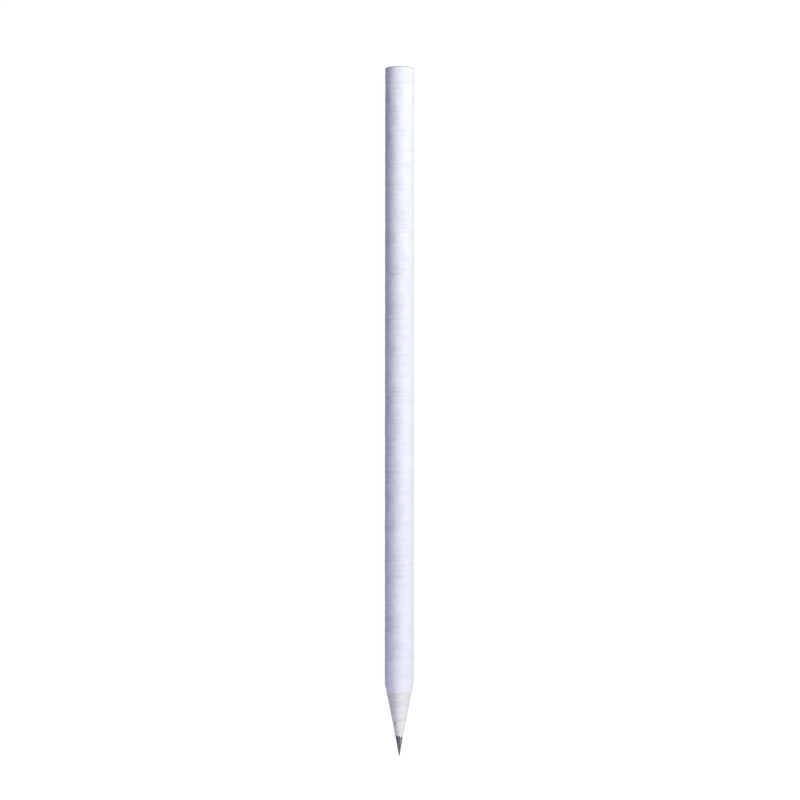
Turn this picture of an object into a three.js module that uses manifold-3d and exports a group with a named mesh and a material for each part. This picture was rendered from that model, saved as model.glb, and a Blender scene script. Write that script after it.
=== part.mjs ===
// A round pencil made of rolled paper, sharpened and unbroken, lying on its side.
//
// It has three pieces: a graphite lead, a barrel of newsprint rolled round the lead, and a white
// sheet wound four times round the barrel. The white sheet ends in a lengthwise free edge, one
// sheet thick, over a glued seam that is pressed flat. The pencil lies on that edge and on the
// seam's far side, so it doesn't roll.
//
// Millimetres, +Z up. The pencil's length runs along Y, with the point towards -Y and the flat cut
// end towards +Y. The origin is on the surface that it lies on, below the middle of its length.

import * as THREE from "three";
import { mergeVertices } from "three/addons/utils/BufferGeometryUtils.js";
import Module from "manifold-3d";

const wasm = await Module();
wasm.setup();

// ---- Driving dimensions ----

const LENGTH = 175; // writing point to flat end
const OUTER_RADIUS = 3.65; // halfway round the last turn of the white sheet
const SHEET_THICKNESS = 0.12; // one turn of the white sheet
const SHEET_TURNS = 4;
const LEAD_RADIUS = 0.9;
const PAPER_HALF_ANGLE = THREE.MathUtils.degToRad(11.45); // what a hand sharpener cuts
const LEAD_HALF_ANGLE = THREE.MathUtils.degToRad(10); // graphite is cut a little slimmer
const LEAD_CONE_RADIUS = 1; // where the slimmer cone ends, just past the lead
const WRITING_POINT_RADIUS = 0.08; // the worn tip of the lead
const CUT_EDGE_CHAMFER = 0.1; // the broken edge of the flat end
const GLUE_LINE = 0.02; // glue between neighbouring pieces

const SIDES = 24; // flats round a full turn
const SEAM_FLATS = 2; // how many flats' width the glued seam takes, pressed into one
const WRITING_POINT_STEPS = 4; // flats from the tip to the cone
const OVERRUN = 2; // how far uncut stock runs past both ends

// ---- Sizes that follow ----

const BARREL_RADIUS = OUTER_RADIUS - SHEET_TURNS * SHEET_THICKNESS;

// ---- Solids ----

/** The manifold-3d solid of a closed geometry. */
function solidOf(geometry) {
  geometry.deleteAttribute("normal");
  geometry.deleteAttribute("uv");
  const merged = mergeVertices(geometry, 1e-4);
  return new wasm.Manifold(
    new wasm.Mesh({
      numProp: 3,
      vertProperties: merged.attributes.position.array,
      triVerts: new Uint32Array(merged.index.array),
    }),
  );
}

/** The three.js geometry of a manifold-3d solid. */
function geometryOf(solid) {
  const { vertProperties, triVerts } = solid.getMesh();
  const geometry = new THREE.BufferGeometry();
  geometry.setAttribute("position", new THREE.BufferAttribute(vertProperties, 3));
  geometry.setIndex(new THREE.BufferAttribute(triVerts, 1));
  geometry.computeVertexNormals();
  return geometry;
}

/** Uncut stock of one section, with its length along Y and the writing point's end at y = 0. */
function stockOf(section) {
  const stock = new THREE.ExtrudeGeometry(section, {
    depth: LENGTH + 2 * OVERRUN,
    curveSegments: SIDES / 2, // a full circle gets two flats for each segment
    bevelEnabled: false,
  });
  stock.rotateX(Math.PI / 2); // the section's y becomes z, and the extrusion runs towards -Y
  stock.translate(0, LENGTH + OVERRUN, 0);
  return solidOf(stock);
}

/**
 * What the sharpener and the saw leave: a rounded tip at y = 0, a slim cone on the lead, a wider
 * one on the paper, and a flat end with a broken edge at y = LENGTH. In between the outline is
 * wider than the pencil. Rings divide both cones.
 */
function cutOutline() {
  const tangent = Math.PI / 2 - LEAD_HALF_ANGLE; // where the rounded tip meets the cone
  const profile = [];
  for (let i = 0; i <= WRITING_POINT_STEPS; i++) {
    const turn = (tangent * i) / WRITING_POINT_STEPS;
    profile.push(
      new THREE.Vector2(
        WRITING_POINT_RADIUS * Math.sin(turn),
        WRITING_POINT_RADIUS * (1 - Math.cos(turn)),
      ),
    );
  }
  const clear = OUTER_RADIUS + 1;
  const cones = [
    [LEAD_RADIUS / 2, LEAD_HALF_ANGLE],
    [LEAD_CONE_RADIUS, LEAD_HALF_ANGLE],
    [(LEAD_CONE_RADIUS + BARREL_RADIUS) / 2, PAPER_HALF_ANGLE],
    [clear, PAPER_HALF_ANGLE],
  ];
  for (const [radius, halfAngle] of cones) {
    const last = profile.at(-1);
    const along = (radius - last.x) / Math.tan(halfAngle);
    profile.push(new THREE.Vector2(radius, last.y + along));
  }
  const flatRadius = OUTER_RADIUS - CUT_EDGE_CHAMFER;
  profile.push(
    new THREE.Vector2(clear, LENGTH - (clear - flatRadius)),
    new THREE.Vector2(flatRadius, LENGTH),
    new THREE.Vector2(0, LENGTH),
  );
  return solidOf(new THREE.LatheGeometry(profile, SIDES));
}

// ---- Sections ----

/** A centred circle as a shape or a hole. */
function circle(path, radius) {
  path.absarc(0, 0, radius, 0, 2 * Math.PI, false);
  return path;
}

/** The outside of the wound sheet: its radius grows by one sheet's thickness over a turn. */
class LastTurn extends THREE.Curve {
  getPoint(t, target = new THREE.Vector3()) {
    const angle = 2 * Math.PI * t;
    const radius = OUTER_RADIUS + SHEET_THICKNESS * (t - 0.5);
    return target.set(radius * Math.cos(angle), radius * Math.sin(angle), 0);
  }
}

/** The last turn's corners, of which the glued seam next to the free edge has none. */
const lastTurn = new LastTurn()
  .getPoints(SIDES)
  .filter((_, i) => i === 0 || i >= SEAM_FLATS)
  .map(({ x, y }) => new THREE.Vector2(x, y));

/**
 * How far the section is rolled for the pencil to lie on the free edge and across its seam. The
 * free edge is at the section's angle 0 and the seam runs anticlockwise from there, so the line
 * that rests on both leans back a little from straight up.
 */
function restingRoll() {
  const edge = lastTurn.at(-1);
  const leans = lastTurn
    .slice(1, SIDES / 2)
    .map((point) => Math.atan2(edge.x - point.x, point.y - edge.y));
  return -Math.PI / 2 - Math.min(...leans);
}

const ROLL = restingRoll();

// ---- Pieces ----

function graphiteLead() {
  return stockOf(circle(new THREE.Shape(), LEAD_RADIUS));
}

function rolledPaperBarrel() {
  const section = circle(new THREE.Shape(), BARREL_RADIUS);
  section.holes.push(circle(new THREE.Path(), LEAD_RADIUS + GLUE_LINE));
  return stockOf(section);
}

function whiteWrap() {
  const section = new THREE.Shape(lastTurn);
  section.holes.push(circle(new THREE.Path(), BARREL_RADIUS + GLUE_LINE));
  return stockOf(section);
}

const outline = cutOutline();

/** A named piece, cut to the sharpened outline. */
function piece(name, stock, finish) {
  const mesh = new THREE.Mesh(
    geometryOf(stock.intersect(outline)),
    new THREE.MeshStandardMaterial(finish),
  );
  mesh.name = name;
  return mesh;
}

const pencil = new THREE.Group();
pencil.add(
  piece("graphite_lead", graphiteLead(), { color: 0x4a4a52, roughness: 0.45, metalness: 0.2 }),
  piece("rolled_paper_barrel", rolledPaperBarrel(), { color: 0xd6d5d6, roughness: 0.95 }),
  piece("white_wrap", whiteWrap(), { color: 0xe4e4f1, roughness: 0.85 }),
);
pencil.rotation.y = -ROLL; // about Y, three.js turns Z towards X, and the roll turns X towards Z

const bounds = new THREE.Box3().setFromObject(pencil, true);
const middle = bounds.getCenter(new THREE.Vector3());
pencil.position.set(-middle.x, -middle.y, -bounds.min.z); // the footing is at z = 0

export default pencil;
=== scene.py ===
import math
import bmesh
import bpy
import numpy as np
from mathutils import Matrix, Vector


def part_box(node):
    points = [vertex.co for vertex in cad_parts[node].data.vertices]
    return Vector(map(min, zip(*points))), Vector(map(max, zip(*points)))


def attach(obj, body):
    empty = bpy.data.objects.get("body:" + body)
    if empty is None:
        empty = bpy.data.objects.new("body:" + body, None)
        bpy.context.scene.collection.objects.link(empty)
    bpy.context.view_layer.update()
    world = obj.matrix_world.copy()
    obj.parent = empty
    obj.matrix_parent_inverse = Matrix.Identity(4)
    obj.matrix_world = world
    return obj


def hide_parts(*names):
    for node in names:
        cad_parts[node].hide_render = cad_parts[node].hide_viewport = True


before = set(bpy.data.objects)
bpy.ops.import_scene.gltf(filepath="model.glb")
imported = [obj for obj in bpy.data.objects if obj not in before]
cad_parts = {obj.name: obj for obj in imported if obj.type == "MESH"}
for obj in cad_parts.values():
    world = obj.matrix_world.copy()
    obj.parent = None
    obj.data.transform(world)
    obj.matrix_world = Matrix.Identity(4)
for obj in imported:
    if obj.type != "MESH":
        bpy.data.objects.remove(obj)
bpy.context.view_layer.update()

# A round pencil of rolled paper, sharpened, lying on its side. Metres, +Z up, point towards -Y.
# Angles round the pencil start at the top (+Z) and grow towards +X.

mm = 0.001

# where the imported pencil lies
leadLow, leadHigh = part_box("graphite_lead")
barrelLow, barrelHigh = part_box("rolled_paper_barrel")
wrapLow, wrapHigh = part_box("white_wrap")

axisX = (barrelLow.x + barrelHigh.x) / 2
axisZ = (barrelLow.z + barrelHigh.z) / 2
tipY = leadLow.y
endY = leadHigh.y
leadRadius = (leadHigh.x - leadLow.x) / 2
barrelRadius = (barrelHigh.x - barrelLow.x) / 2
outerRadius = (wrapHigh.x - wrapLow.x) / 2
coneSlope = (barrelRadius - leadRadius) / (wrapLow.y - barrelLow.y)  # radius gained per metre of length
coneAside = -0.05 * mm  # the sharpener held the pencil a little off, so the cones' axis is towards -X
print("the pencil is", round((endY - tipY) / mm, 1), "by", round(2 * outerRadius / mm, 2), "mm")


def coneY(radius):
    # the paper's cone, as the place along Y where it is this far from its own axis
    return barrelLow.y + (radius - leadRadius) / coneSlope


def fromConeAxis(radius, angle):
    # how far a point at this radius and angle from the pencil's axis is from the cones' axis
    return np.hypot(radius * np.sin(angle) - coneAside, radius * np.cos(angle))


def ripples(angle, along, seed, waves, aroundMax, wavelength):
    # A sum of sine waves with random phases, scaled to a spread of 1. Each has a whole number of
    # waves round the axis, up to aroundMax, and a length along Y drawn from the range wavelength.
    # sin(m a + k y + p) is the imaginary part of exp(i m a) exp(i (k y + p)), so it is one product.
    rng = np.random.default_rng(seed)
    whole = rng.integers(-aroundMax, aroundMax + 1, waves)
    pitch = 2 * np.pi / rng.uniform(*wavelength, waves)
    phase = rng.uniform(0, 2 * np.pi, waves)
    lengthwise = np.exp(1j * (np.outer(along, pitch) + phase))
    around = np.exp(1j * np.outer(whole, angle))
    return (lengthwise @ around).imag * math.sqrt(2 / waves)


def smooth(x, low, high):
    # 0 below low, 1 above high, and an S-shaped rise of 3t^2 - 2t^3 between them
    t = np.clip((x - low) / (high - low), 0, 1)
    return t * t * (3 - 2 * t)


def bell(away, width):
    # 1 at 0, falling smoothly to nothing over about twice the width: e to the minus (away / width)^2
    return np.exp(-((away / width) ** 2))


def groove(position, width):
    # a bell of the given width on every whole number of position
    return bell(position - np.round(position), width)


def turned(angle, centre):
    # how far an angle is from a centre, the short way round
    return (angle - centre + np.pi) % (2 * np.pi) - np.pi


def roundAxis(radius, along, angle, aside=0.0):
    # a point at this radius and angle from an axis aside from the pencil's, at this place along it
    radius, along, angle, aside = np.broadcast_arrays(radius, along, angle, aside)
    x = axisX + aside + radius * np.sin(angle)
    return np.stack((x, along, axisZ + radius * np.cos(angle)), axis=-1)


mergeWithin = 0.0001 * mm
sharpFrom = math.radians(32)  # a fold this steep is shaded as an edge


def makePiece(name, points, closeProfile, marks):
    # Rows run along the profile and columns round the axis. Columns always close on themselves, and
    # rows do if closeProfile is set. Rows or columns that shrink to one place are merged after.
    rows, columns = points.shape[:2]
    index = np.arange(rows * columns).reshape(rows, columns)
    if closeProfile:
        index = np.vstack((index, index[:1]))
    index = np.hstack((index, index[:, :1]))
    quads = np.stack((index[:-1, :-1], index[:-1, 1:], index[1:, 1:], index[1:, :-1]), axis=-1)
    mesh = bpy.data.meshes.new(name)
    mesh.from_pydata(points.reshape(-1, 3).tolist(), [], quads.reshape(-1, 4).tolist())
    for mark, values in marks.items():
        layer = mesh.attributes.new(mark, "FLOAT", "POINT")
        perPoint = np.broadcast_to(values, (rows, columns)).astype(np.float32)
        layer.data.foreach_set("value", perPoint.ravel())
    work = bmesh.new()
    work.from_mesh(mesh)
    bmesh.ops.remove_doubles(work, verts=work.verts, dist=mergeWithin)
    bmesh.ops.recalc_face_normals(work, faces=work.faces)
    work.to_mesh(mesh)
    work.free()
    mesh.shade_smooth()
    mesh.set_sharp_from_angle(angle=sharpFrom)
    piece = bpy.data.objects.new(name, mesh)
    bpy.context.scene.collection.objects.link(piece)
    print("made", name, "with", len(mesh.polygons), "faces")
    return piece


class Wire:
    # one socket of a shader; arithmetic on it adds Math nodes to the same material
    def __init__(self, finish, socket):
        self.finish = finish
        self.socket = socket

    def __add__(self, other):
        return self.finish.math("ADD", self, other)

    def __sub__(self, other):
        return self.finish.math("SUBTRACT", self, other)

    def __rsub__(self, other):
        return self.finish.math("SUBTRACT", other, self)

    def __mul__(self, other):
        return self.finish.math("MULTIPLY", self, other)

    __radd__ = __add__
    __rmul__ = __mul__


class Finish:
    # a material, and the one way that nodes are put into it
    def __init__(self, name):
        self.material = bpy.data.materials.new(name)
        self.material.use_nodes = True
        self.tree = self.material.node_tree
        self.tree.nodes.clear()

    def node(self, kind, settings=None, inputs=None, out=0):
        # the settings come first, because some of them change which sockets there are
        made = self.tree.nodes.new(kind)
        for key, value in (settings or {}).items():
            setattr(made, key, value)
        for key, value in (inputs or {}).items():
            if isinstance(value, Wire):
                self.tree.links.new(value.socket, made.inputs[key])
            else:
                made.inputs[key].default_value = value
        return Wire(self, made.outputs[out]) if len(made.outputs) else made

    def math(self, operation, *values):
        return self.node("ShaderNodeMath", {"operation": operation}, dict(enumerate(values)))

    def clamped(self, value):
        return self.node("ShaderNodeClamp", {}, {"Value": value})

    def mark(self, name):
        # a value that the piece's own mesh carries
        return self.node("ShaderNodeAttribute", {"attribute_name": name}, out=2)

    def place(self, stretch=(1, 1, 1)):
        # Object coordinates measured from the pencil's axis, in metres, then stretched
        here = self.node("ShaderNodeTexCoord", out=3)
        centred = self.node("ShaderNodeMapping", {}, {"Vector": here, "Location": (-axisX, 0, -axisZ)})
        return self.node("ShaderNodeMapping", {}, {"Vector": centred, "Scale": stretch})

    def noise(self, where, size, detail=2.0, roughness=0.5):
        # noise about 0.5, whose blots are about as wide as size, in metres
        return self.node(
            "ShaderNodeTexNoise",
            {"noise_type": "FBM", "normalize": True},
            {"Vector": where, "Scale": 1 / size, "Detail": detail, "Roughness": roughness},
        )

    def spread(self, value, low, high, toLow=0.0, toHigh=1.0):
        # value from low to high, laid out from toLow to toHigh and held there outside
        return self.node(
            "ShaderNodeMapRange",
            {"clamp": True},
            {"Value": value, "From Min": low, "From Max": high, "To Min": toLow, "To Max": toHigh},
        )

    def blend(self, amount, first, second):
        # first where amount is 0 and second where it is 1, for colours
        inputs = {0: amount, 6: solid(first), 7: solid(second)}
        return self.node("ShaderNodeMix", {"data_type": "RGBA"}, inputs, out=2)

    def bump(self, height, distance, strength):
        inputs = {"Height": height, "Distance": distance, "Strength": strength}
        return self.node("ShaderNodeBump", {}, inputs)

    def finished(self, inputs):
        shader = self.node("ShaderNodeBsdfPrincipled", {}, inputs)
        self.node("ShaderNodeOutputMaterial", {}, {"Surface": shader})
        return self.material


def solid(colour):
    # a plain colour with full opacity, or a wire as it is
    return colour if isinstance(colour, Wire) else (*colour, 1.0)


# white wrap: one sheet wound several times round the barrel and glued
wrapLook = {
    "sheet": 0.12 * mm,  # thickness of one turn
    "glueGap": 0.012 * mm,
    "seam": 1 / 12,  # share of a turn, next to the free edge, that is pressed flat
    "rim": 0.13 * mm,  # rounding of the flat end's edge
    "rimShadeStart": 0.55 * mm,  # how far from the flat end the painted shade on the skin begins
    "rimShadeFull": 0.15 * mm,  # and where it is deepest
    "dents": 0.012 * mm,  # how much the skin rises and falls over several millimetres
    "bands": 0.0015 * mm,  # and over less than two, in bands that run round the pencil
    "cutWobble": 0.028 * mm,  # unevenness of the sharpened edge
    "layerDepth": 0.012 * mm,
    "paper": (0.735, 0.755, 0.94),
    "blot": (0.62, 0.63, 0.83),
    "pale": (0.80, 0.82, 0.97),
    # the same paper where it is cut across, painted paler than the skin: partly its own colour, partly
    # painted light that lifts the cone's shade
    "cutPaperPaintedPaler": (0.77, 0.785, 0.96),
    "line": (0.50, 0.51, 0.58),
    # painted shade: the grey painted on the skin along the flat end's rounded rim
    "rimPaintedShade": (0.46, 0.48, 0.51),
    "roughness": 0.82,
    "litSide": 2.0 * mm,  # along X from the axis, on the side towards the lamps, where the mottling is faintest
    "shadedSide": -3.0 * mm,  # and on the shaded side, where it is strongest, partly as painted shade of the skin's undulations
    "cloudSize": 1.9 * mm,
    "bandSize": 0.62 * mm,
    "fibreSize": 0.17 * mm,
    "grainSize": 0.07 * mm,
    "coneRows": 36,
    "skinRows": 880,
    "rimRows": 6,
    "endRows": 26,
    "boreRows": 5,
    "columns": 96,
}


def woundRadius(turn, look):
    # The outside of the last turn, which grows by one sheet over a turn. Up to the seam's end it is
    # the straight line from (r0, 0) to (r1, a1): r0 r1 sin a1 / (r0 sin a + r1 sin(a1 - a)).
    start = outerRadius - look["sheet"] / 2
    seamEnd = start + look["sheet"] * look["seam"]
    wide = 2 * np.pi * look["seam"]
    angle = np.minimum(2 * np.pi * turn, wide)
    flat = start * seamEnd * math.sin(wide) / (start * np.sin(angle) + seamEnd * np.sin(wide - angle))
    return np.where(turn < look["seam"], flat, start + look["sheet"] * turn)


def whiteWrapPiece(look):
    # The skin winds from under the free edge, once round, to the free edge itself, which touches the
    # surface that the pencil lies on. Small ripples are added to it. The cone and the flat end cut
    # across the turns, and each joint between two turns is a fine groove there: it lies where
    # radius / thickness less the share of a turn is whole. A straight bore closes the loop.
    freeRadius = outerRadius + look["sheet"] / 2
    freeAngle = -math.pi + math.acos(axisZ / freeRadius)  # just past the bottom, on the -X side
    turn = np.linspace(0, 1, look["columns"])
    angle = freeAngle - 2 * np.pi * turn
    bore = barrelRadius + look["glueGap"]
    toRight = smooth(np.sin(angle), -0.1, 0.3)

    skinS = np.linspace(0, 1, look["skinRows"])
    roughY = coneY(outerRadius) + skinS * (endY - coneY(outerRadius))
    dents = ripples(angle, roughY, 3, 90, 4, (3 * mm, 14 * mm))
    bands = ripples(angle, roughY, 4, 200, 5, (0.7 * mm, 2.2 * mm))
    # the free edge and the strip that the pencil lies on stay straight
    uneven = smooth(turn, 0, 0.02) * smooth(1 - turn, 0, 0.02) * (1 - bell(turned(angle, np.pi), 0.6))
    skin = woundRadius(turn, look) + (look["dents"] * dents + look["bands"] * bands) * uneven
    wobble = look["cutWobble"] * ripples(angle, np.zeros(1), 5, 24, 14, (1 * mm, 2 * mm))[0]

    s = np.linspace(0, 1, look["coneRows"])[:, None]
    coneRadius = bore + (skin[0] - bore) * s
    joint = (coneRadius - bore) / look["sheet"] - turn
    middleTurn = bell((coneRadius - bore) / look["sheet"] - 2, 0.6)
    seen = 0.35 + 0.65 * middleTurn * toRight
    coneLine = groove(joint, 0.10) * smooth(s, 0.0, 0.06) * smooth(1 - s, 0.0, 0.06) * seen
    coneAlong = coneY(fromConeAxis(coneRadius, angle) + wobble * (0.3 + 0.7 * s))
    coneCut = coneRadius - look["layerDepth"] * coneLine

    skinAlong = coneAlong[-1] + skinS[:, None] * (endY - look["rim"] - coneAlong[-1])

    quarter = np.linspace(0, np.pi / 2, look["rimRows"])[1:, None]
    rimRadius = skin[-1] - look["rim"] * (1 - np.cos(quarter))
    rimAlong = endY - look["rim"] * (1 - np.sin(quarter)) + 0 * turn

    e = np.linspace(0, 1, look["endRows"])[1:, None]
    endRadius = rimRadius[-1] + (bore - rimRadius[-1]) * e
    endLine = groove((endRadius - bore) / look["sheet"] - turn, 0.12) * smooth(1 - e, 0.0, 0.08)
    endAlong = endY - look["layerDepth"] * endLine

    b = np.linspace(0, 1, look["boreRows"])[1:-1, None]
    boreAlong = endAlong[-1] + (coneAlong[0] - endAlong[-1]) * b
    boreRadius = bore + 0 * boreAlong

    radius = np.vstack((coneCut, skin[1:], rimRadius, endRadius, boreRadius))
    along = np.vstack((coneAlong, skinAlong[1:], rimAlong, endAlong, boreAlong))
    plain = [0 * band for band in (coneCut, skin[1:], rimRadius, endRadius, boreRadius)]
    cut = np.vstack((1 + plain[0], plain[1], 1 + plain[2], 1 + plain[3], 1 + plain[4]))
    line = np.vstack((coneLine, plain[1], plain[2], endLine, 1 + plain[4]))
    points = roundAxis(radius, along, angle)
    return makePiece("white_wrap_skin", points, True, {"cut": cut, "layerLine": line})


def whitePaperFinish(look):
    # Soft blots in bands that run round the pencil, paler clouds, and short fibres over them. The blots
    # are stronger on the -X side, away from the lamps, as painted shade of the skin's undulations. Where
    # the sheet is cut across it is the same paper painted a little paler, as painted light that lifts
    # the cone's shade, with a darker line between the turns, and the flat end's rim is painted grey as
    # painted shade.
    f = Finish("white paper")
    even = f.place()
    clouds = f.noise(f.place((0.6, 0.4, 0.6)), look["cloudSize"], 3, 0.55)
    bands = f.noise(f.place((0.13, 1, 0.13)), look["bandSize"], 3, 0.6)
    fibres = f.noise(f.place((0.35, 1, 0.35)), look["fibreSize"], 3, 0.65)
    grain = f.noise(even, look["grainSize"], 2, 0.6)
    across = f.node("ShaderNodeSeparateXYZ", {}, {"Vector": even}, out=0)
    # painted shade: the blots are painted stronger towards -X, away from the lamps, standing in for the
    # shade of the skin's undulations there
    mottleAndShade = f.spread(across, look["litSide"], look["shadedSide"], 0.62, 1.35)
    tone = (clouds * 0.40 + bands * 0.42 + fibres * 0.18 - 0.5) * mottleAndShade
    colour = f.blend(f.spread(tone, 0.0, -0.14), look["paper"], look["blot"])
    colour = f.blend(f.spread(tone, 0.01, 0.15), colour, look["pale"])
    # painted light: the cut surfaces, the cone among them, are painted paler than the skin
    colour = f.blend(f.clamped(f.mark("cut") * 0.8), colour, look["cutPaperPaintedPaler"])
    colour = f.blend(f.clamped(f.mark("layerLine") * 0.6), colour, look["line"])
    along = f.node("ShaderNodeSeparateXYZ", {}, {"Vector": even}, out=1)
    # painted shade: the skin is painted grey over its last half millimetre before the flat end
    rimShadeAmount = f.spread(along, endY - look["rimShadeStart"], endY - look["rimShadeFull"])
    colour = f.blend(rimShadeAmount * 0.75, colour, look["rimPaintedShade"])
    height = fibres * 0.45 + grain * 0.2 + bands * 0.9
    normal = f.bump(height, 0.012 * mm, 0.7)
    rough = f.clamped(look["roughness"] + (fibres - 0.5) * 0.2)
    return f.finished(
        {
            "Base Color": colour,
            "Roughness": rough,
            "Specular IOR Level": 0.25,
            "Normal": normal,
            "Sheen Weight": 0.06,
            "Sheen Roughness": 0.6,
        }
    )


# barrel: newsprint rolled tightly round the lead
barrelLook = {
    "turnThickness": 0.072 * mm,
    "leadGap": 0.006 * mm,
    "layerDepth": 0.006 * mm,
    "scallops": 0.006 * mm,  # flats that the blade leaves
    "lip": 0.018 * mm,  # how far the paper stands above the lead at its edge
    "edgeWobble": 0.006 * mm,
    "edgeHigh": 0.043 * mm,  # extra radius of the paper's edge towards -X, where more of the lead shows
    "edgeLow": -0.016 * mm,  # and towards +X
    "nickPlace": 8.4 * mm,  # from the writing point
    "nickAngle": math.radians(-50),
    "nickWidth": 0.30 * mm,
    "nickLength": 0.30 * mm,
    "nickDepth": 0.06 * mm,
    "stripEnd": 12.9 * mm,  # from the writing point, where one strip of newsprint stops
    "stripWidth": 0.14 * mm,
    "stripSlant": 0.25 * mm,
    "smearShort": 0.07 * mm,  # how far graphite is dragged onto the paper all round
    "leftShadeLength": 0.7 * mm,  # and how far painted shade in the same dark colour reaches on the -X side, away from the lamps
    "paper": (0.735, 0.745, 0.80),
    "fibre": (0.615, 0.62, 0.68),
    "pale": (0.80, 0.81, 0.86),
    "line": (0.42, 0.42, 0.46),
    # graphite dust, also used for painted shade on the -X side and in the nick
    "dustAndShade": (0.15, 0.15, 0.175),
    "roughness": 0.9,
    "streakSize": 0.75 * mm,
    "fibreSize": 0.17 * mm,
    "grainSize": 0.06 * mm,
    "speckSize": 0.13 * mm,
    "patchSize": 0.2 * mm,
    "coneRows": 280,
    "sideRows": 4,
    "endRows": 150,
    "columns": 192,
}


def barrelPiece(look):
    # The cone and the flat end cut across a spiral of thin turns: the line between two turns is
    # where radius / thickness less the share of a turn is whole. Shallow flats are what the blade
    # leaves. The edge round the lead is uneven, and higher on one side, with one small step.
    angle = np.linspace(0, 2 * np.pi, look["columns"], endpoint=False)
    turn = angle / (2 * np.pi)
    bore = leadRadius + look["leadGap"]
    toRight = smooth(np.sin(angle - 0.2), -0.10, 0.10)
    uneven = look["edgeWobble"] * ripples(angle, np.zeros(1), 11, 20, 12, (1 * mm, 2 * mm))[0]
    edge = leadRadius + look["edgeHigh"] * (1 - toRight) + look["edgeLow"] * toRight + uneven
    edgeRadius = edge + coneAside * np.sin(angle)  # the same edge, measured from the pencil's axis

    s = np.linspace(0, 1, look["coneRows"])[:, None]
    coneRadius = edgeRadius + (barrelRadius - edgeRadius) * s
    coneAlong = coneY(fromConeAxis(coneRadius, angle))
    roughY = coneY(leadRadius + s[:, 0] * (barrelRadius - leadRadius))
    flats = ripples(angle, roughY, 12, 90, 14, (0.7 * mm, 4 * mm))
    clearEnds = smooth(s, 0, 0.05) * smooth(1 - s, 0, 0.03)
    faintness = 0.5 + 0.5 * np.sin(1.5 * ripples(angle, roughY, 13, 30, 3, (1 * mm, 4 * mm)))
    coneLine = groove((coneRadius - bore) / look["turnThickness"] - turn, 0.16) * faintness
    slanted = look["stripEnd"] + look["stripSlant"] * np.sin(angle)
    stripEnd = bell(coneAlong - tipY - slanted, look["stripWidth"])
    stripEnd = stripEnd * smooth(np.cos(angle + 0.5), 0.1, 0.8)
    aside = turned(angle, look["nickAngle"]) * coneRadius / look["nickWidth"]
    nick = bell(aside, 1) * bell(coneAlong - tipY - look["nickPlace"], look["nickLength"])
    sink = look["layerDepth"] * (coneLine + stripEnd) + look["scallops"] * flats * clearEnds
    lip = look["lip"] * np.exp(-(coneAlong - coneAlong[0]) / (0.25 * mm))
    coneCut = coneRadius - sink - look["nickDepth"] * nick + lip

    d = np.linspace(0, 1, look["sideRows"])[1:, None]
    sideAlong = coneAlong[-1] + (endY - coneAlong[-1]) * d
    sideRadius = barrelRadius + 0 * sideAlong

    e = np.linspace(0, 1, look["endRows"])[1:, None]
    endRadius = barrelRadius + (bore - barrelRadius) * e + 0 * angle
    endLine = groove((endRadius - bore) / look["turnThickness"] - turn, 0.2)
    endAlong = endY - 2 * look["layerDepth"] * endLine * smooth(1 - e, 0, 0.03)

    b = np.linspace(0, 1, look["sideRows"])[1:, None]
    underEdge = edgeRadius - look["lip"]
    boreAlong = endAlong[-1] + (coneAlong[0] + look["lip"] - endAlong[-1]) * b
    boreRadius = bore + (underEdge - bore) * b**8  # straight, then turned outwards under the edge

    radius = np.vstack((coneCut, sideRadius, endRadius, boreRadius))
    along = np.vstack((coneAlong, sideAlong, endAlong, boreAlong))
    atWrap = smooth(s, 0.975, 0.99) * 0.5 + 0 * angle  # glue darkens the paper next to the wrap
    coneMark = np.maximum(np.maximum(coneLine, 0.9 * stripEnd), atWrap)
    line = np.vstack((coneMark, 0 * sideRadius, endLine, 0 * boreRadius))
    left = smooth(-np.sin(angle), 0.45, 0.95)
    fromEdge = coneAlong - coneAlong[0]
    smearAndShade = 0.75 * np.exp(-fromEdge / look["smearShort"])
    # painted shade: towards -X, away from the lamps, the paper is darkened in graphite colour, fading
    # over 0.7 mm from the lead's edge
    smearAndShade = smearAndShade + 0.8 * left * np.exp(-fromEdge / look["leftShadeLength"])
    # painted shade: the nick is darkened in the same graphite colour
    dustAndShade = np.vstack((np.maximum(smearAndShade, 0.62 * nick), 0 * sideRadius, 0 * endRadius, 1 + 0 * boreRadius))
    points = roundAxis(radius, along, angle)
    return makePiece("rolled_newsprint", points, True, {"layerLine": line, "dustAndShade": dustAndShade})


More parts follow.
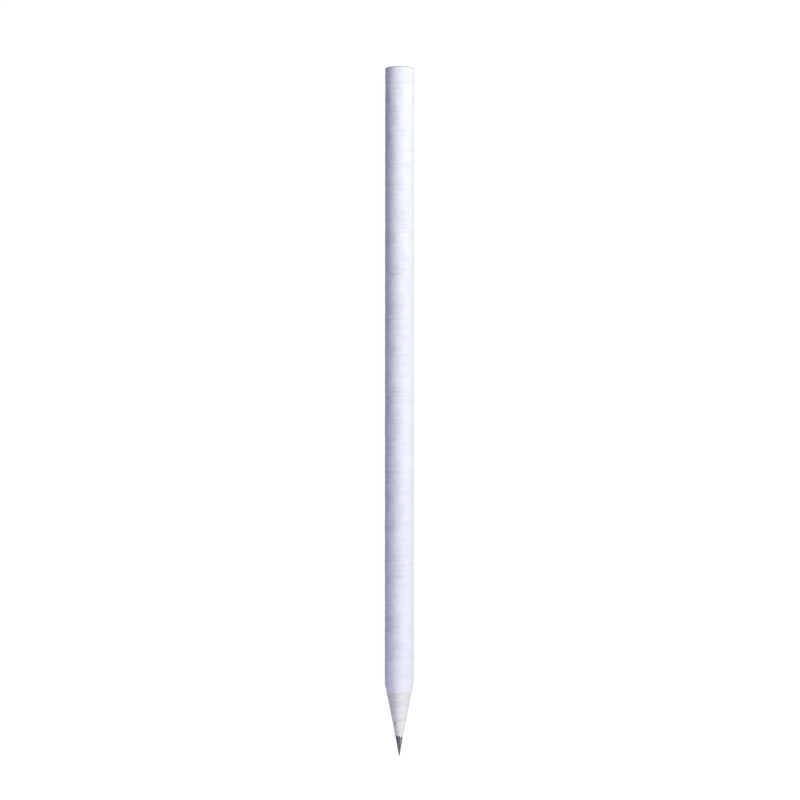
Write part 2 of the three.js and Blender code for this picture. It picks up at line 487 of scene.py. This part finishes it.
def newsprintFinish(look):
    # Grey paper pulp cut across: short fibres that run round the pencil, faint lines between the turns,
    # and graphite dust dragged up from the lead, with painted shade in the same dark colour towards -X
    # and in the nick.
    f = Finish("newsprint")
    even = f.place()
    streaks = f.noise(f.place((0.35, 1, 0.35)), look["streakSize"], 3, 0.6)
    fibres = f.noise(f.place((0.4, 1, 0.4)), look["fibreSize"], 3, 0.65)
    grain = f.noise(even, look["grainSize"], 2, 0.6)
    tone = streaks * 0.5 + fibres * 0.35 + grain * 0.15
    colour = f.blend(f.spread(tone, 0.50, 0.37), look["paper"], look["fibre"])
    colour = f.blend(f.spread(tone, 0.52, 0.64), colour, look["pale"])
    colour = f.blend(f.clamped(f.mark("layerLine") * 0.4), colour, look["line"])
    specks = f.spread(f.noise(even, look["speckSize"], 1, 0.5), 0.30, 0.24)
    colour = f.blend(specks * 0.5, colour, look["line"])
    patchy = f.spread(f.noise(even, look["patchSize"], 3, 0.6), 0.3, 0.6, 0.6, 1.2)
    # graphite dust and painted shade together, in patches
    smearAndShade = f.clamped(f.mark("dustAndShade") * patchy)
    colour = f.blend(smearAndShade, colour, look["dustAndShade"])
    normal = f.bump(fibres * 0.7 + grain * 0.3 + streaks * 0.4, 0.012 * mm, 0.9)
    rough = f.clamped(look["roughness"] - smearAndShade * 0.3)
    return f.finished(
        {"Base Color": colour, "Roughness": rough, "Specular IOR Level": 0.2, "Normal": normal}
    )


# lead: a graphite rod, cut to the writing point
leadLook = {
    "tipRadius": 0.10 * mm,
    "scratchDepth": 0.0035 * mm,
    "facetDepth": 0.006 * mm,
    "flare": 0.32 * mm,  # how far past the paper's lowest edge the cut lead runs
    "underPaper": 0.014 * mm,  # how far it lies below the paper's cone there
    "graphite": (0.14, 0.14, 0.168),
    "dark": (0.090, 0.090, 0.112),
    "bright": (0.22, 0.22, 0.25),
    "tipRows": 9,
    "coneRows": 150,
    "flareRows": 8,
    "sideRows": 10,
    "endRows": 22,
    "columns": 112,
}


def leadPiece(look):
    # A ball at the tip, a straight cone that touches it, and a short stretch that follows the
    # paper's cone. Behind that a straight rod leads back to the pencil's axis and to the flat end.
    ball = look["tipRadius"]
    coneTop = barrelLow.y
    reach = coneTop - tipY - ball
    halfAngle = math.atan2(leadRadius, reach) - math.asin(ball / math.hypot(reach, leadRadius))
    angle = np.linspace(0, 2 * np.pi, look["columns"], endpoint=False)

    a = np.linspace(0, math.pi / 2 - halfAngle, look["tipRows"])
    tipRadius = ball * np.sin(a)
    tipAlong = tipY + ball * (1 - np.cos(a))
    s = np.linspace(0, 1, look["coneRows"])[1:]
    coneRadius = tipRadius[-1] + (leadRadius - tipRadius[-1]) * s
    coneAlong = tipAlong[-1] + (coneTop - tipAlong[-1]) * s
    flareAlong = coneTop + look["flare"] * np.linspace(0, 1, look["flareRows"])[1:]
    flareRadius = leadRadius + (flareAlong - coneTop) * coneSlope
    flareRadius = flareRadius - look["underPaper"] * smooth(flareAlong, coneTop, coneTop + 0.1 * mm)
    sideAlong = np.linspace(flareAlong[-1] + 0.1 * mm, endY, look["sideRows"])
    sideRadius = leadRadius + 0 * sideAlong
    endRadius = np.linspace(leadRadius, 0, look["endRows"])[1:]
    endAlong = endY + 0 * endRadius
    radius = np.concatenate((tipRadius, coneRadius, flareRadius, sideRadius, endRadius))[:, None]
    along = np.concatenate((tipAlong, coneAlong, flareAlong, sideAlong, endAlong))[:, None]

    onCone = smooth(along, tipY + 0.1 * mm, tipY + 0.6 * mm)
    onCone = onCone * smooth(coneTop + look["flare"] - along, 0, 0.1 * mm)
    facets = np.abs(ripples(angle, along[:, 0], 21, 40, 7, (3 * mm, 14 * mm)))
    scratches = np.abs(ripples(angle, along[:, 0], 22, 80, 2, (0.12 * mm, 0.5 * mm)))
    radius = radius - onCone * (look["facetDepth"] * facets + look["scratchDepth"] * scratches) / 2
    leaning = 0.4 + 0.6 * np.clip((along - tipY) / (coneTop - tipY), 0, 1)
    aside = coneAside * leaning * (1 - smooth(along, coneTop + look["flare"], wrapLow.y))
    return makePiece("graphite_point", roundAxis(radius, along, angle, aside), False, {})


def graphiteFinish(look):
    # Dark grey with a soft metallic sheen, fine rings round the cone, and paler rubbed streaks.
    f = Finish("graphite")
    rings = f.noise(f.place((0.4, 6, 0.4)), 0.5 * mm, 3, 0.6)
    cloud = f.noise(f.place(), 0.5 * mm, 3, 0.6)
    grain = f.noise(f.place(), 0.05 * mm, 2, 0.6)
    colour = f.blend(f.spread(cloud, 0.5, 0.36), look["graphite"], look["dark"])
    colour = f.blend(f.spread(cloud * 0.6 + rings * 0.4, 0.52, 0.64), colour, look["bright"])
    normal = f.bump(rings * 0.7 + grain * 0.3, 0.01 * mm, 0.8)
    rough = f.spread(grain * 0.5 + cloud * 0.5, 0.35, 0.65, 0.36, 0.56)
    return f.finished(
        {
            "Base Color": colour,
            "Roughness": rough,
            "Metallic": 0.3,
            "Specular IOR Level": 0.5,
            "Normal": normal,
        }
    )


def settle(piece, finish, node):
    # each new piece rides on the pencil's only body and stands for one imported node
    piece.data.materials.append(finish)
    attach(piece, "root")
    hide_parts(node)
    print("finished", piece.name, "in", finish.name)


settle(whiteWrapPiece(wrapLook), whitePaperFinish(wrapLook), "white_wrap")
settle(barrelPiece(barrelLook), newsprintFinish(barrelLook), "rolled_paper_barrel")
settle(leadPiece(leadLook), graphiteFinish(leadLook), "graphite_lead")

# floor, light and camera
floorLook = {
    "flatRadius": 1.6,
    "wallRadius": 2.6,
    "wallHeight": 2.6,
    "colour": (0.99, 0.992, 1.0),
    "albedo": 0.06,
    "glow": 0.985,
    "rows": 24,
    "columns": 96,
}


def paleFloor(look):
    # a flat disc whose rim bends up into a wall: radius and height against the turn of a quarter circle
    flat = np.linspace(0, look["flatRadius"], look["rows"])
    bend = np.linspace(0, np.pi / 2, look["rows"])[1:]
    wall = look["flatRadius"] + (look["wallRadius"] - look["flatRadius"]) * np.sin(bend)
    radius = np.concatenate((flat, wall))
    height = np.concatenate((0 * flat, look["wallHeight"] * (1 - np.cos(bend))))[:, None]
    angle = np.linspace(0, 2 * np.pi, look["columns"], endpoint=False)
    x = np.outer(radius, np.sin(angle))
    y = np.outer(radius, np.cos(angle))
    floor = makePiece("pale_floor", np.stack((x, y, height + 0 * x), axis=-1), False, {})
    f = Finish("pale floor")
    shade = tuple(channel * look["albedo"] for channel in look["colour"])
    diffuse = f.node("ShaderNodeBsdfDiffuse", {}, {"Color": solid(shade)})
    glow = f.node("ShaderNodeEmission", {}, {"Color": solid(look["colour"]), "Strength": look["glow"]})
    both = f.node("ShaderNodeAddShader", {}, {0: diffuse, 1: glow})
    f.node("ShaderNodeOutputMaterial", {}, {"Surface": both})
    floor.data.materials.append(f.material)
    floor.visible_diffuse = False  # it lights nothing, so the shaded side stays shaded
    floor.visible_glossy = False


# away is metres towards +X, towards +Y and up, from faces, a place along the pencil
lampLooks = {
    "key": {
        "faces": 0,
        "away": (0.174, 0.20, 0.207),
        "size": 0.15,
        "strength": 0.82,
        "colour": (1, 1, 0.79),
    },
    "right": {
        "faces": 0,
        "away": (0.309, -0.20, 0.164),
        "size": 0.18,
        "strength": 0.58,
        "colour": (1, 1, 1),
    },
    "left": {
        "faces": 0,
        "away": (-0.225, -0.10, 0.268),
        "size": 0.20,
        "strength": 0.37,
        "colour": (0.88, 0.85, 1),
    },
    "end": {
        "faces": 0.0875,
        "away": (-0.07, 0.16, 0.05),
        "size": 0.10,
        "strength": 0.20,
        "colour": (0.8, 0.8, 1),
    },
    "point": {
        "faces": -0.078,
        "away": (-0.04, -0.11, 0.05),
        "size": 0.07,
        "strength": 0.31,
        "colour": (1, 1, 0.95),
    },
}


def lamp(name, look):
    # A disc lamp. A white matt surface that faces it, where the lamp itself faces, gets a brightness
    # of strength, so its power is strength pi^2 distance^2.
    away = Vector(look["away"])
    data = bpy.data.lights.new(name, "AREA")
    data.shape = "DISK"
    data.size = look["size"]
    data.energy = look["strength"] * math.pi**2 * away.length_squared
    data.color = look["colour"]
    holder = bpy.data.objects.new(name, data)
    holder.location = Vector((axisX, (tipY + endY) / 2 + look["faces"], axisZ)) + away
    holder.rotation_euler = away.to_track_quat("Z", "Y").to_euler()  # a lamp shines along its own -Z
    holder.visible_camera = False
    bpy.context.scene.collection.objects.link(holder)


skyLook = {"colour": (1, 1, 1), "strength": 0.045}


def skyLight(look):
    # an even, very weak light from all round
    made = bpy.data.worlds.new("studio")
    made.use_nodes = True
    background = made.node_tree.nodes["Background"]
    background.inputs["Color"].default_value = solid(look["colour"])
    background.inputs["Strength"].default_value = look["strength"]
    bpy.context.scene.world = made


cameraLook = {
    "distance": 480 * mm,  # from the pencil's axis
    "aboveTip": 74 * mm,
    "aside": 0.13 * mm,
    "pitch": math.radians(1.92),
    "roll": math.radians(0.027),
    "lens": 84.9,
}


def lookDown(look):
    # straight down on the pencil, but for a slight tilt towards the flat end
    data = bpy.data.cameras.new("camera")
    data.sensor_width = 36
    data.lens = look["lens"]
    data.clip_start = 0.01
    data.clip_end = 20
    camera = bpy.data.objects.new("camera", data)
    camera.location = (axisX + look["aside"], tipY + look["aboveTip"], axisZ + look["distance"])
    camera.rotation_euler = (look["pitch"], 0, look["roll"])
    bpy.context.scene.collection.objects.link(camera)
    bpy.context.scene.camera = camera


paleFloor(floorLook)
skyLight(skyLook)
for lampName, lampLook in lampLooks.items():
    lamp(lampName, lampLook)
lookDown(cameraLook)
bpy.context.scene.view_settings.view_transform = "Standard"
print("floor, light and camera are set")
